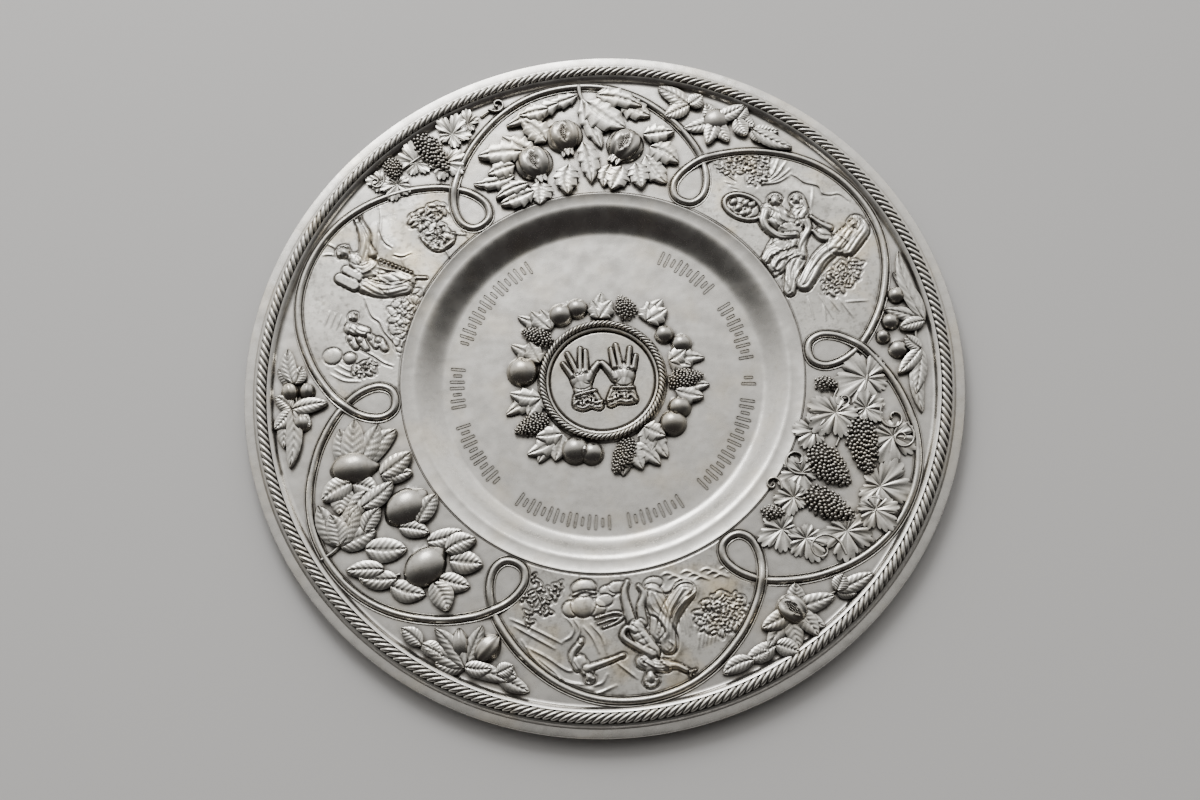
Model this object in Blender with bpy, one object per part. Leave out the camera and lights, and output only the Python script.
"""A large round silver dish with chased fruit, leaves, strapwork and small scenes.

The dish is one piece of sheet raised from both sides. Its wall has one thickness, its high
fruit is hollow from behind, and it rests on the flat underside of its well.

A section is wrapped round into a closed plate. Relief is then drawn on a plan of the dish, in plan
units, and raises the plate's skin wherever a fruit, leaf, strap or figure stands on it.
"""
import math

import bmesh
import bpy
import numpy as np

# Sizes of the plate, in metres
RADIUS = 0.250
WALL = 0.0014
WELL_DEPTH = 0.0100
FLOOR_RADIUS = 0.1130
LIP_RADIUS = 0.1317
MARLY_INNER = 0.1400
MARLY_OUTER = 0.2310
BAND_STEP = 0.0006
COVE_RINGS = 5

# Rope moulding between the wide border and the flange
ROPE_INNER = 0.2335
ROPE_CREST = 0.2367
ROPE_OUTER = 0.2410
MOULDING_OUTER = 0.2435
ROPE_FOOT_RISE = 0.0036
ROPE_RISE = 0.0062
ROPE_GROOVE = 0.0012
ROPE_STRANDS = 280
ROPE_WALL_LEAN = 0.0008
STRAND_SLANT = 1.0

# Heights of the relief above the skin that it grows from
FRUIT_RISE = 0.0090
PLUM_RISE = 0.0062
BUNCH_RISE = 0.0062
LEAF_RISE = 0.0034
LOWER_LEAF_RISE = 0.0024
STRAP_RISE = 0.0028
FIGURE_RISE = 0.0042
SCENERY_RISE = 0.0016
RING_RISE = 0.0060
DISC_RISE = 0.0015
HAND_RISE = 0.0040
FINGER_RISE = 0.0034
SEED_SLIT = 0.0014

# The hollows behind the fruit close towards the border's outer edge at this slope or less
HOLLOW_SLOPE = 1.0

# Widths that the relief keeps whatever its place
STRAP_WIDTH = 0.0066
RING_INNER = 0.0385
RING_OUTER = 0.0455
RING_STRANDS = 84

# The plan that the relief is drawn on: one unit is a millimetre on the dish at these sizes
PLAN_FLOOR = 113.0
PLAN_LIP = 131.7
PLAN_MARLY_INNER = 140.0
PLAN_MARLY_OUTER = 231.0

# Fineness of the skin before it is thinned, and the facets left after
COLUMNS = 2 * ROPE_STRANDS
WELL_POINTS = ROPE_STRANDS // 4
RIM_POINTS = ROPE_STRANDS * 2 // 5
TOP_STEP = 0.0016
UNDER_STEP = 0.0035
FACETS = 9800
PROTECT = 1000.0
SNAP = 0.0001
FOOT_SLACK = 0.0002

MM = 0.001

# A motif is looked for this much further out than its own length
MARGIN = 1.1


def plan_radius(radius):
    """Return where real radii lie on the plan, which ends at the rope."""
    real = (0.0, FLOOR_RADIUS, LIP_RADIUS, MARLY_INNER, MARLY_OUTER)
    plan = (0.0, PLAN_FLOOR, PLAN_LIP, PLAN_MARLY_INNER, PLAN_MARLY_OUTER)
    return np.interp(radius, real, plan)


# Shapes of one motif: u runs along it and v across it, in plan units, and each gives a
# height from 0 at its edge to 1 at its top

def dome(u, v, length, width):
    """A round or oval boss with steep sides."""
    inside = 1.0 - (u / length) ** 2 - (v / width) ** 2
    return np.sqrt(np.clip(inside, 0.0, None))


def leaf(u, v, reach, width):
    """A pointed leaf from its root at u = 0 to its tip, with a sunk midrib."""
    along = np.clip(u / reach, 0.0, 1.0)
    half = np.maximum(width * np.sin(math.pi * along ** 0.8) ** 0.75, 1e-6)
    across = np.clip(np.abs(v) / half, 0.0, 1.0)
    crown = (1.0 - across ** 2) ** 0.4
    midrib = 0.3 * np.exp(-((v / 1.2) ** 2))
    return np.where(across < 1.0, crown * (0.75 + 0.25 * along) - midrib * crown, 0.0)


def vine_leaf(u, v, radius):
    """A leaf of five lobes around its stem."""
    turn = np.arctan2(v, u)
    outline = radius * (0.74 + 0.26 * np.cos(5.0 * turn))
    share = np.clip(np.hypot(u, v) / outline, 0.0, 1.0)
    rib = 0.22 * (0.5 + 0.5 * np.cos(5.0 * turn)) ** 6
    return (1.0 - share ** 2) ** 0.4 * (0.85 - rib)


def bunch(u, v, length, width):
    """A bunch of grapes: an oval boss broken into lumps."""
    lumps = np.cos(u * 1.15) * np.cos(v * 1.15)
    body = dome(u, v, length, width)
    return body * (0.86 + 0.14 * lumps)


def limb(u, v, length, start, end):
    """A tapered round bar, such as an arm or a fold of a robe."""
    along = np.clip(u / max(length, 1e-6), 0.0, 1.0)
    radius = start + (end - start) * along
    away = np.hypot(u - along * length, v)
    return np.sqrt(np.clip(1.0 - (away / radius) ** 2, 0.0, None)) * radius / max(start, end)


class Skin:
    """Points of one skin of the dish on the plan, and how far motifs have raised them."""

    def __init__(self, x, y):
        self.x = x
        self.y = y
        self.height = np.zeros_like(x)

    def push(self, centre, degrees, reach, rise, shape, *sizes):
        """Raise the points near a centre to a shape that faces the given way."""
        away_x = self.x - centre[0]
        away_y = self.y - centre[1]
        near = np.hypot(away_x, away_y) < reach
        cos = math.cos(math.radians(degrees))
        sin = math.sin(math.radians(degrees))
        u = away_x[near] * cos + away_y[near] * sin
        v = away_y[near] * cos - away_x[near] * sin
        raised = rise / MM * shape(u, v, *sizes)
        self.height[near] = np.maximum(self.height[near], raised)

    def sink(self, centre, degrees, length, width, depth):
        """Press a pointed slit into what has been raised."""
        away_x = self.x - centre[0]
        away_y = self.y - centre[1]
        cos = math.cos(math.radians(degrees))
        sin = math.sin(math.radians(degrees))
        u = away_x * cos + away_y * sin
        v = away_y * cos - away_x * sin
        half = width * np.clip(1.0 - (u / length) ** 2, 0.0, None)
        self.height[np.abs(v) < half] -= depth / MM


# Fruit and leaves of each panel, on the plan. A fruit is its centre, the way it faces, and
# its half length and half width. Leaves spring from a root: each is a direction in degrees
# and how far its tip reaches.

POMEGRANATES = (
    ((-7.0, 187.5), 95, 13.0, 12.6),
    ((-31.0, 168.6), 105, 13.4, 13.0),
    ((36.0, 174.3), 50, 13.2, 12.8),
    ((107.0, -179.0), 130, 11.0, 10.6),
)

# A pomegranate's slit, as shares of its half length and half width
SLIT_LENGTH = 0.6
SLIT_WIDTH = 0.3

SMOOTH_FRUIT = (
    ((-177.0, -46.0), 0, 17.0, 12.0),
    ((-143.0, -78.0), 35, 16.5, 13.0),
    ((-133.0, -121.0), 40, 17.5, 13.2),
    ((104.0, 186.0), 45, 10.2, 9.8),
)

PLUMS = (
    ((211.0, 34.0), 0, 6.4, 6.4),
    ((204.0, 15.0), 0, 6.6, 6.4),
    ((197.0, 4.5), 0, 5.4, 5.4),
    ((206.0, -6.0), 0, 7.2, 7.0),
    ((-114.0, -176.0), 88, 11.0, 6.4),
    ((-96.0, -181.0), 45, 11.5, 8.4),
    ((-217.0, 15.0), 100, 7.6, 6.4),
    ((-205.0, 14.0), 80, 6.6, 5.8),
    ((-210.0, -9.0), 95, 7.0, 6.6),
)

GRAPES = (
    ((171.0, -72.0), -88, 21.0, 10.5),
    ((146.0, -84.0), -52, 18.0, 11.0),
    ((142.0, -111.0), -35, 19.0, 9.5),
    ((153.0, -25.0), -15, 8.5, 5.2),
    ((104.0, -112.0), -10, 8.5, 5.0),
    ((-103.0, 185.0), -58, 20.0, 8.5),
    ((-133.0, 176.5), -80, 9.0, 6.5),
)

VINE_LEAVES = (
    ((181.0, -24.0), 190, 19.0),
    ((156.0, -47.0), 215, 17.0),
    ((177.0, -46.0), 20, 11.0),
    ((140.0, -58.0), 160, 12.0),
    ((127.0, -86.0), 200, 13.0),
    ((192.0, -68.0), 250, 18.0),
    ((178.0, -102.0), 340, 20.0),
    ((172.0, -118.0), 300, 13.0),
    ((119.0, -103.0), 175, 11.0),
    ((108.0, -124.0), 200, 15.0),
    ((123.0, -132.0), 290, 14.0),
    ((151.0, -130.0), 260, 17.0),
    ((-116.0, 180.0), 100, 14.5),
    ((-88.0, 199.0), 60, 14.0),
    ((-76.0, 206.0), 90, 9.0),
)

LEAVES = (
    ((8.0, 219.0), 8.0, ((191, 32), (195, 47), (284, 46), (313, 44), (342, 34), (335, 56))),
    ((-7.0, 187.5), 9.0, ((151, 34), (268, 47), (273, 35), (291, 43))),
    ((-31.0, 168.6), 9.0, ((132, 32), (167, 41), (189, 34), (197, 46), (220, 39), (238, 40),
                           (276, 34))),
    ((36.0, 174.3), 9.0, ((9, 37), (332, 42), (307, 43), (282, 37), (250, 37), (235, 34))),
    ((-177.0, -46.0), 6.5, ((105, 28), (83, 33), (54, 34), (30, 36), (5, 38), (350, 42),
                            (312, 25), (252, 32), (222, 30))),
    ((-188.0, -99.0), 6.5, ((113, 30), (92, 21), (61, 29), (16, 26))),
    ((-143.0, -78.0), 7.0, ((180, 32), (206, 32), (10, 22), (331, 22), (300, 26))),
    ((-172.0, -105.0), 7.0, ((355, 27), (227, 19), (20, 16))),
    ((-133.0, -121.0), 7.0, ((39, 33), (23, 38), (355, 38), (329, 34), (291, 33), (218, 28),
                             (186, 44))),
    ((104.0, 186.0), 7.0, ((190, 25), (245, 21), (290, 20), (110, 15), (20, 23))),
    ((86.0, 200.0), 7.0, ((140, 27), (170, 14), (30, 12))),
    ((119.0, 184.0), 6.0, ((330, 14), (290, 15), (45, 12))),
    ((129.0, 174.0), 6.0, ((350, 19), (325, 32))),
    ((227.0, 12.0), 5.0, ((155, 29), (190, 18), (100, 55), (112, 42))),
    ((221.0, -8.0), 5.5, ((222, 24), (255, 33), (262, 46), (130, 14))),
    ((107.0, -179.0), 7.5, ((12, 30), (325, 24), (306, 24), (272, 26), (230, 30), (205, 24),
                            (75, 18))),
    ((93.0, -201.0), 6.5, ((200, 22), (335, 16))),
    ((77.0, -209.0), 6.0, ((198, 22), (20, 12))),
    ((138.0, -170.0), 6.0, ((60, 12), (20, 27), (345, 13))),
    ((-112.0, -192.0), 6.0, ((122, 33), (145, 34), (165, 20), (350, 18), (335, 30), (62, 30))),
    ((-139.0, -174.0), 6.0, ((135, 18), (325, 16))),
    ((-91.0, -199.0), 6.0, ((325, 24), (20, 12), (345, 13))),
    ((-216.0, 1.0), 6.0, ((135, 16), (5, 25), (225, 18), (255, 28), (265, 42), (310, 18))),
    ((-214.0, 20.0), 6.0, ((130, 16), (95, 26), (60, 14))),
)

# Round and oval pieces of the wreath on the floor of the well
WREATH_FRUIT = (
    ((-24.0, 52.5), 9.0),
    ((-12.0, 56.0), 8.0),
    ((47.0, 29.0), 7.2),
    ((58.0, 20.5), 7.6),
    ((51.0, -26.0), 8.4),
    ((45.0, -37.0), 9.8),
    ((-13.0, -52.0), 8.6),
    ((-24.0, -48.5), 10.4),
    ((-55.0, 13.5), 11.2),
)

WREATH_GRAPES = (
    ((22.0, 52.5), 110, 9.5, 7.0),
    ((58.0, -6.0), 5, 12.5, 7.5),
    ((9.0, -57.0), 235, 14.0, 8.0),
    ((-52.0, -27.0), 195, 13.0, 7.5),
    ((-42.0, 38.0), 150, 12.0, 6.5),
)

WREATH_LEAVES = (
    ((3.0, 46.0), 5.5, ((80, 19), (50, 16))),
    ((36.0, 40.0), 6.5, ((50, 18), (25, 16))),
    ((48.0, 8.0), 6.0, ((0, 23), (30, 14))),
    ((50.0, -14.0), 5.5, ((5, 23), (340, 19))),
    ((25.0, -38.0), 6.5, ((280, 16), (300, 26), (330, 14))),
    ((14.0, -50.0), 5.5, ((320, 24), (250, 22))),
    ((-32.0, -36.0), 6.5, ((205, 26), (225, 24), (180, 16))),
    ((-44.0, -8.0), 6.0, ((200, 25), (165, 20))),
    ((-42.0, 18.0), 6.0, ((140, 24), (110, 16))),
    ((-32.0, 42.0), 5.5, ((110, 16), (150, 25))),
)

# Figures and what stands by them: two ends of a bar and its half width at each
FIGURES = (
    ((136.0, 107.0), (141.0, 103.0), 8.0, 9.0),
    ((146.0, 100.0), (151.0, 86.0), 8.5, 8.0),
    ((150.0, 90.0), (129.0, 76.0), 9.0, 7.5),
    ((130.0, 78.0), (133.0, 63.0), 7.5, 5.0),
    ((152.0, 90.0), (152.0, 72.0), 5.5, 4.0),
    ((192.0, 93.0), (190.0, 91.0), 6.0, 6.0),
    ((186.0, 88.0), (172.0, 77.0), 9.0, 8.5),
    ((172.0, 78.0), (150.0, 60.0), 8.5, 8.5),
    ((150.0, 62.0), (140.0, 44.0), 8.0, 3.5),
    ((178.0, 86.0), (163.0, 97.0), 4.5, 2.5),
    ((-174.0, 116.0), (-171.0, 114.0), 6.5, 6.0),
    ((-160.0, 108.0), (-157.0, 124.0), 6.0, 4.5),
    ((-157.0, 124.0), (-163.0, 141.0), 4.2, 2.4),
    ((-160.0, 106.0), (-148.0, 99.0), 8.5, 9.0),
    ((-148.0, 97.0), (-124.0, 88.0), 10.0, 8.5),
    ((-162.0, 89.0), (-136.0, 80.0), 5.0, 4.5),
    ((-177.0, 97.0), (-164.0, 89.0), 5.0, 5.0),
    ((-173.0, 103.0), (-161.0, 95.0), 4.6, 4.6),
    ((8.0, -214.0), (8.0, -209.0), 6.2, 5.6),
    ((13.0, -203.0), (9.0, -190.0), 8.0, 9.0),
    ((9.0, -190.0), (6.0, -168.0), 9.5, 10.0),
    ((2.0, -172.0), (-1.0, -150.0), 5.5, 3.5),
    ((18.0, -203.0), (36.0, -211.0), 4.0, 2.4),
    ((18.0, -186.0), (30.0, -164.0), 8.0, 6.5),
    ((30.0, -164.0), (43.0, -154.0), 5.5, 3.0),
    ((-4.0, -168.0), (-21.0, -171.0), 3.6, 2.4),
    ((-38.0, -187.0), (-39.0, -200.0), 4.0, 4.6),
    ((-38.0, -201.0), (-10.0, -197.0), 3.6, 2.0),
    ((-34.0, -206.0), (-34.0, -204.0), 4.2, 4.2),
    ((-46.0, -209.0), (-22.0, -211.0), 3.4, 2.4),
    ((-28.0, -146.0), (-28.0, -147.0), 7.5, 7.5),
    ((-29.0, -158.0), (-28.0, -162.0), 7.0, 5.0),
)

SCENERY = (
    ((178.0, 58.0), 15.0, 9.0),
    ((166.0, 46.0), 9.0, 6.0),
    ((120.0, 145.0), 19.0, 9.0),
    ((140.0, 146.0), 12.0, 8.0),
    ((-103.0, 136.0), 11.0, 13.0),
    ((-117.0, 133.0), 6.0, 7.0),
    ((-165.0, 48.0), 11.0, 8.0),
    ((-164.0, 26.0), 12.0, 5.5),
    ((-176.0, 36.0), 6.0, 5.0),
    ((-168.0, 70.0), 9.0, 6.0),
    ((-58.0, -150.0), 11.0, 11.0),
    ((60.0, -176.0), 17.0, 12.0),
    ((-48.0, -180.0), 16.0, 7.0),
    ((40.0, -146.0), 20.0, 5.0),
)

BASKET_CENTRE = (113.0, 116.0)
BASKET_LENGTH = 13.5
BASKET_WIDTH = 10.5
BASKET_TURN = 155

# One hand, raised, with its fingers parted in pairs: each finger is its root and tip
PALM = (-14.0, 2.5)
PALM_SIZE = (10.0, 7.8)
WRIST = (-12.0, -9.0)
CUFF_END = (-12.0, -19.0)
FINGERS = (
    ((-16.5, 6.0), (-14.2, 23.8)),
    ((-12.0, 6.0), (-10.4, 21.0)),
    ((-18.5, 5.0), (-22.6, 20.6)),
    ((-20.0, 3.0), (-25.8, 13.6)),
    ((-9.5, 1.0), (-1.8, 11.6)),
)
FINGER_WIDTHS = (2.8, 2.4)
WRIST_WIDTHS = (6.4, 5.0)
CUFF_WIDTHS = (8.0, 9.6)

# Half of one lobe of the strapwork, from the tip of a small loop to the lobe's crown:
# degrees from the loop's axis, and plan radius
LOBES = 6
STRAP_HALF_LOBE = (
    (0.0, 144.2),
    (-3.0, 147.0),
    (-4.2, 156.0),
    (-2.9, 168.0),
    (0.0, 180.0),
    (3.9, 191.2),
    (9.4, 204.0),
    (16.2, 216.4),
    (23.0, 224.2),
    (30.0, 226.6),
)
STRAP_SAMPLES = 14


def strap_line():
    """Return points along half a lobe of the strapwork's middle line, on the plan."""
    control = []
    for degrees, radius in STRAP_HALF_LOBE:
        turn = math.radians(degrees)
        control.append((radius * math.cos(turn), radius * math.sin(turn)))
    crown = math.pi / LOBES
    before = (control[1][0], -control[1][1])
    last = control[-2]
    turned = 2.0 * crown - math.atan2(last[1], last[0])
    reach = math.hypot(last[0], last[1])
    after = (reach * math.cos(turned), reach * math.sin(turned))
    knots = np.array([before] + control + [after])
    share = np.linspace(0.0, 1.0, STRAP_SAMPLES, endpoint=False)[:, None]
    line = []
    for start, a, b, end in zip(knots, knots[1:], knots[2:], knots[3:]):
        bend = 2.0 * start - 5.0 * a + 4.0 * b - end
        turn = 3.0 * a - start - 3.0 * b + end
        line.append(a + 0.5 * share * (b - start + share * (bend + share * turn)))
    return np.vstack(line)


def away_from_strap(x, y):
    """Return how far plan points lie from the strapwork's middle line."""
    sector = 2.0 * math.pi / LOBES
    turn = np.mod(np.arctan2(y, x), sector)
    mirrored = np.minimum(turn, sector - turn)
    radius = np.hypot(x, y)
    along = radius * np.cos(mirrored)
    across = radius * np.sin(mirrored)
    shortest = np.full(x.shape, np.inf)
    for line_x, line_y in strap_line():
        for side in (across, -across):
            np.minimum(shortest, np.hypot(along - line_x, side - line_y), out=shortest)
    return shortest


def add_strapwork(skin):
    """Raise the interlaced band: a rounded bead with a fine line along each side."""
    radius = np.hypot(skin.x, skin.y)
    near = (radius > PLAN_LIP) & (radius < PLAN_MARLY_OUTER)
    away = away_from_strap(skin.x[near], skin.y[near])
    half = STRAP_WIDTH / MM / 2.0
    bead = np.sqrt(np.clip(1.0 - (away / half) ** 2, 0.0, None))
    skin.height[near] = np.maximum(skin.height[near], STRAP_RISE / MM * bead)


def add_leaves(skin, groups):
    """Raise fans of leaves, every second one a little lower so that overlaps show."""
    for root, width, fan in groups:
        for order, (degrees, reach) in enumerate(fan):
            rise = LEAF_RISE if order % 2 == 0 else LOWER_LEAF_RISE
            skin.push(root, degrees, reach * MARGIN, rise, leaf, reach, width)


def add_fruit(skin, cut):
    """Raise the fruit of the border. A cut above 0 gives the hollow behind it."""
    for group, rise in ((POMEGRANATES, FRUIT_RISE), (SMOOTH_FRUIT, FRUIT_RISE),
                        (PLUMS, PLUM_RISE)):
        for centre, degrees, length, width in group:
            skin.push(centre, degrees, length * MARGIN, rise - cut, dome,
                      length - cut / MM, width - cut / MM)
    for centre, degrees, length, width in GRAPES:
        shape = bunch if cut == 0.0 else dome
        skin.push(centre, degrees, length * MARGIN, BUNCH_RISE - cut, shape,
                  length - cut / MM, width - cut / MM)


def add_wreath(skin, cut):
    """Raise the fruit and grapes of the wreath. A cut above 0 gives the hollow behind."""
    for centre, radius in WREATH_FRUIT:
        skin.push(centre, 0.0, radius * MARGIN, FRUIT_RISE - cut, dome,
                  radius - cut / MM, radius - cut / MM)
    for centre, degrees, length, width in WREATH_GRAPES:
        shape = bunch if cut == 0.0 else dome
        skin.push(centre, degrees, length * MARGIN, BUNCH_RISE - cut, shape,
                  length - cut / MM, width - cut / MM)


def push_bar(skin, start, end, width_start, width_end, rise):
    """Raise one round bar between two plan points."""
    step_x = end[0] - start[0]
    step_y = end[1] - start[1]
    length = math.hypot(step_x, step_y)
    degrees = math.degrees(math.atan2(step_y, step_x))
    reach = length + width_start + width_end
    skin.push(start, degrees, reach, rise, limb, length, width_start, width_end)


def add_scenes(skin):
    """Raise the figures of the three pictured panels and the ground that they stand on."""
    for centre, length, width in SCENERY:
        skin.push(centre, 0.0, max(length, width), SCENERY_RISE, bunch, length, width)
    for start, end, width_start, width_end in FIGURES:
        push_bar(skin, start, end, width_start, width_end, FIGURE_RISE)
    skin.push(BASKET_CENTRE, BASKET_TURN, BASKET_LENGTH, FIGURE_RISE, dome,
              BASKET_LENGTH, BASKET_WIDTH)


def add_hands(skin):
    """Raise the two hands of the medallion, one the mirror image of the other."""
    for side in (1.0, -1.0):
        palm = (PALM[0] * side, PALM[1])
        wrist = (WRIST[0] * side, WRIST[1])
        cuff = (CUFF_END[0] * side, CUFF_END[1])
        skin.push(palm, 90.0, max(PALM_SIZE), HAND_RISE, dome, *PALM_SIZE)
        push_bar(skin, palm, wrist, *WRIST_WIDTHS, HAND_RISE)
        push_bar(skin, wrist, cuff, *CUFF_WIDTHS, HAND_RISE)
        for root, tip in FINGERS:
            push_bar(skin, (root[0] * side, root[1]), (tip[0] * side, tip[1]),
                     *FINGER_WIDTHS, FINGER_RISE)


def add_medallion(skin):
    """Raise the roped ring and the low disc inside it."""
    radius = np.hypot(skin.x, skin.y)
    inner = RING_INNER / MM
    outer = RING_OUTER / MM
    middle = (inner + outer) / 2.0
    half = (outer - inner) / 2.0
    away = (radius - middle) / half
    twist = np.arctan2(skin.y, skin.x) * RING_STRANDS + away * math.pi
    roll = np.sqrt(np.clip(1.0 - away ** 2, 0.0, None)) * (0.9 + 0.1 * np.cos(twist))
    skin.height = np.maximum(skin.height, RING_RISE / MM * roll)
    skin.height[radius < inner] += DISC_RISE / MM


def profile():
    """Return the section of the plate, from the top's middle round to the underside's.

    Each ring is its radius, its height and how many points it keeps. A ring that keeps 0
    is fine at first and is thinned together with the relief on it.
    """
    rim = WALL + WELL_DEPTH
    span = LIP_RADIUS - FLOOR_RADIUS
    turns = np.linspace(0.0, math.pi, COVE_RINGS)
    top = [(radius, WALL, 0) for radius in np.arange(0.0, FLOOR_RADIUS - SNAP, TOP_STEP)]
    for turn in turns:
        rise = (WELL_DEPTH + BAND_STEP) * (0.5 - 0.5 * math.cos(turn))
        top.append((FLOOR_RADIUS + span * turn / math.pi, WALL + rise, WELL_POINTS))
    top.append((MARLY_INNER, rim + BAND_STEP, WELL_POINTS))
    marly = np.arange(MARLY_INNER + TOP_STEP / 2.0, MARLY_OUTER - SNAP, TOP_STEP)
    top += [(radius, rim, 0) for radius in marly]
    rope = [
        (MARLY_OUTER, rim, 0),
        (MARLY_OUTER + ROPE_WALL_LEAN, rim + ROPE_FOOT_RISE, 0),
        (ROPE_INNER, rim + ROPE_FOOT_RISE, ROPE_STRANDS),
        (ROPE_CREST, rim + ROPE_RISE, COLUMNS),
        (ROPE_OUTER, rim + ROPE_FOOT_RISE, ROPE_STRANDS),
        (MOULDING_OUTER, rim, 0),
        (RADIUS, rim, RIM_POINTS),
    ]
    under = [(RADIUS, rim - WALL, RIM_POINTS)]
    back = np.arange(MOULDING_OUTER, LIP_RADIUS + UNDER_STEP, -UNDER_STEP)
    under += [(radius, rim - WALL, 0) for radius in back]
    for turn in turns[::-1]:
        rise = WELL_DEPTH * (0.5 - 0.5 * math.cos(turn))
        under.append((FLOOR_RADIUS + WALL / 2.0 + span * turn / math.pi, rise, WELL_POINTS))
    floor = np.arange(FLOOR_RADIUS - UNDER_STEP, SNAP, -UNDER_STEP)
    under += [(radius, 0.0, 0) for radius in floor]
    under.append((0.0, 0.0, 0))
    return top, rope, under


def wrap_grid(section):
    """Wrap a grid round a section, and return its mesh, its points and their rings."""
    radii, heights, kept = np.array(section).T
    grid = bmesh.new()
    bmesh.ops.create_grid(grid, x_segments=COLUMNS, y_segments=len(section) - 1, size=1.0)
    mesh = bpy.data.meshes.new("dish")
    grid.to_mesh(mesh)
    grid.free()
    flat = np.empty(len(mesh.vertices) * 3, dtype=np.float32)
    mesh.vertices.foreach_get("co", flat)
    flat = flat.reshape(-1, 3).astype(float)
    rings = np.rint((flat[:, 1] + 1.0) / 2.0 * (len(section) - 1)).astype(int)
    columns = np.rint((flat[:, 0] + 1.0) / 2.0 * COLUMNS)
    apart = np.where(kept > 0, COLUMNS / np.maximum(kept, 1), 1)[rings]
    columns = np.rint(columns / apart) * apart
    turn = 2.0 * math.pi * columns / COLUMNS
    radius = radii[rings]
    places = np.stack((radius * np.cos(turn), radius * np.sin(turn), heights[rings]), axis=1)
    return mesh, places, rings, columns


def close_seam(mesh):
    """Join the grid's two ends and its poles, and keep the faces in one fixed order."""
    plate = bmesh.new()
    plate.from_mesh(mesh)
    bmesh.ops.remove_doubles(plate, verts=plate.verts, dist=0.000001)
    bmesh.ops.recalc_face_normals(plate, faces=plate.faces)
    plate.verts.index_update()
    faces = []
    for face in plate.faces:
        corners = [corner.index for corner in face.verts]
        first = corners.index(min(corners))
        faces.append(corners[first:] + corners[:first])
    points = [tuple(point.co) for point in plate.verts]
    plate.free()
    mesh.clear_geometry()
    mesh.from_pydata(points, [], sorted(faces))
    mesh.update()


def twist_rope(places, rings, columns, foot):
    """Slant the rope's strands, from ring number foot outwards, and groove its crest."""
    for ring, slant in ((foot, 1.0), (foot + 2, -1.0)):
        chosen = rings == ring
        radius = np.hypot(places[chosen, 0], places[chosen, 1])
        turn = 2.0 * math.pi * (columns[chosen] + slant * STRAND_SLANT) / COLUMNS
        places[chosen, 0] = radius * np.cos(turn)
        places[chosen, 1] = radius * np.sin(turn)
    groove = (rings == foot + 1) & (columns % 2 == 1)
    places[groove, 2] -= ROPE_GROOVE


def raise_relief(places, top):
    """Move the top skin up to the relief, and the underside into the hollows behind it."""
    real = np.hypot(places[:, 0], places[:, 1])
    radius = plan_radius(real)
    turn = np.arctan2(places[:, 1], places[:, 0])
    x = radius * np.cos(turn)
    y = radius * np.sin(turn)
    front = Skin(x[top], y[top])
    add_leaves(front, LEAVES)
    add_leaves(front, WREATH_LEAVES)
    for centre, degrees, reach in VINE_LEAVES:
        front.push(centre, degrees, reach, LEAF_RISE, vine_leaf, reach)
    add_scenes(front)
    add_fruit(front, 0.0)
    for centre, degrees, length, width in POMEGRANATES:
        front.sink(centre, degrees, length * SLIT_LENGTH, width * SLIT_WIDTH, SEED_SLIT)
    add_strapwork(front)
    add_medallion(front)
    add_hands(front)
    add_wreath(front, 0.0)
    places[top, 2] += front.height * MM
    back = Skin(x[~top], y[~top])
    add_fruit(back, WALL)
    add_wreath(back, WALL)
    room = np.clip(MARLY_OUTER - real[~top], 0.0, None) * HOLLOW_SLOPE
    places[~top, 2] += np.minimum(back.height * MM, room)


def silver():
    """Return the dish's material."""
    material = bpy.data.materials.new("silver")
    material.use_nodes = True
    shader = material.node_tree.nodes["Principled BSDF"]
    shader.inputs["Base Color"].default_value = (0.68, 0.66, 0.62, 1.0)
    shader.inputs["Metallic"].default_value = 1.0
    shader.inputs["Roughness"].default_value = 0.32
    return material


def make_dish():
    """Make the dish as one object, standing on its underside at the origin."""
    top_section, rope_section, under_section = profile()
    section = top_section + rope_section + under_section
    mesh, places, rings, columns = wrap_grid(section)
    top = rings < len(top_section)
    body = top | (rings >= len(top_section) + len(rope_section))
    relief = places[body]
    raise_relief(relief, top[body])
    places[body] = relief
    foot = len(top_section) + [ring[2] for ring in rope_section].index(ROPE_STRANDS)
    twist_rope(places, rings, columns, foot)
    mesh.vertices.foreach_set("co", places.astype(np.float32).ravel())
    close_seam(mesh)
    dish = bpy.data.objects.new("dish", mesh)
    bpy.context.scene.collection.objects.link(dish)
    mesh.materials.append(silver())
    thin_out(dish, [ring[0] for ring in section if ring[2] > 0])
    press_foot_flat(dish)
    return dish


def thin_out(dish, kept_radii):
    """Leave few facets where the skin is plain, and none fewer on the kept rings."""
    mesh = dish.data
    points = np.empty(len(mesh.vertices) * 3, dtype=np.float32)
    mesh.vertices.foreach_get("co", points)
    points = points.reshape(-1, 3)
    radius = np.hypot(points[:, 0], points[:, 1])
    kept = np.zeros(len(radius), dtype=bool)
    for ring in kept_radii:
        kept |= np.abs(radius - ring) < SNAP
    free = dish.vertex_groups.new(name="free")
    free.add(np.flatnonzero(~kept).tolist(), 1.0, "REPLACE")
    free.add(np.flatnonzero(kept).tolist(), 0.0, "REPLACE")
    thin = dish.modifiers.new("thin", "DECIMATE")
    thin.decimate_type = "COLLAPSE"
    thin.use_collapse_triangulate = True
    thin.vertex_group = free.name
    thin.vertex_group_factor = PROTECT
    triangles = sum(len(face.vertices) - 2 for face in mesh.polygons)
    thin.ratio = FACETS / triangles


def press_foot_flat(dish):
    """Apply the thinning, then lay the underside of the well exactly on the ground."""
    graph = bpy.context.evaluated_depsgraph_get()
    thinned = bpy.data.meshes.new_from_object(dish.evaluated_get(graph))
    dish.modifiers.clear()
    dish.vertex_groups.clear()
    dish.data = thinned
    for point in thinned.vertices:
        if abs(point.co.z) < FOOT_SLACK:
            point.co.z = 0.0


for old in list(bpy.data.objects):
    bpy.data.objects.remove(old, do_unlink=True)
make_dish()
